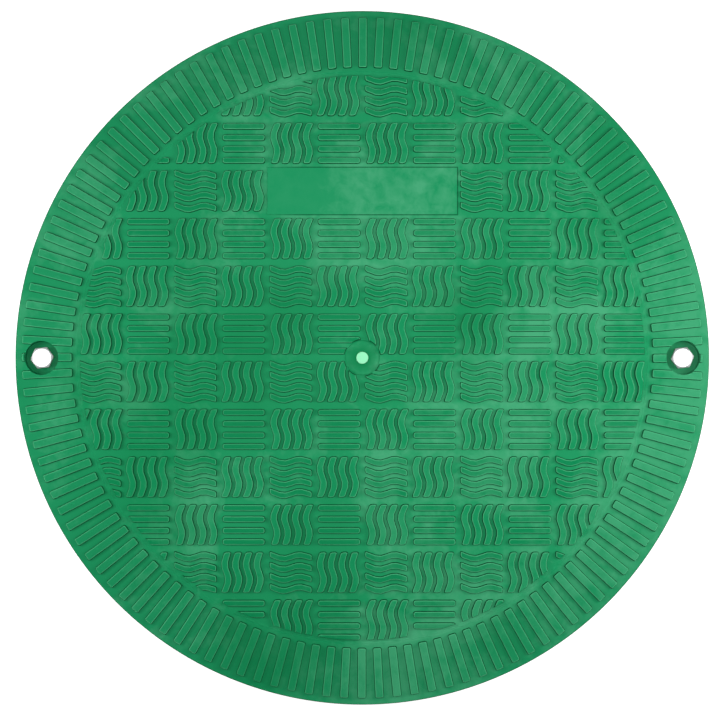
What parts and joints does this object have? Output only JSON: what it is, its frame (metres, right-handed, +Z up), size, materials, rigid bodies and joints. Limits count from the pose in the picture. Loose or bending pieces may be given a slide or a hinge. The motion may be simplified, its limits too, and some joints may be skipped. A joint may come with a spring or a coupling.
{
  "type": "manhole cover",
  "caption": "Round plastic manhole cover with a raised non-slip tread on top, a spigot and a web of ribs below, and hold-down bolts in counterbored pockets near its rim.",
  "frame": {"origin": "middle of the lower edge of the spigot, at the base of the part", "axes": "+Z up, out of the tread; X through the two bolts; +Y towards the plain panel in the tread"},
  "size_m": [0.45, 0.45, 0.0482],
  "materials": {
    "green_plastic": "satin",
    "zinc_steel": "satin"
  },
  "bodies": {
    "root": {"cover": "green_plastic", "bolt_left": "zinc_steel", "bolt_right": "zinc_steel"}
  },
  "joints": []
}
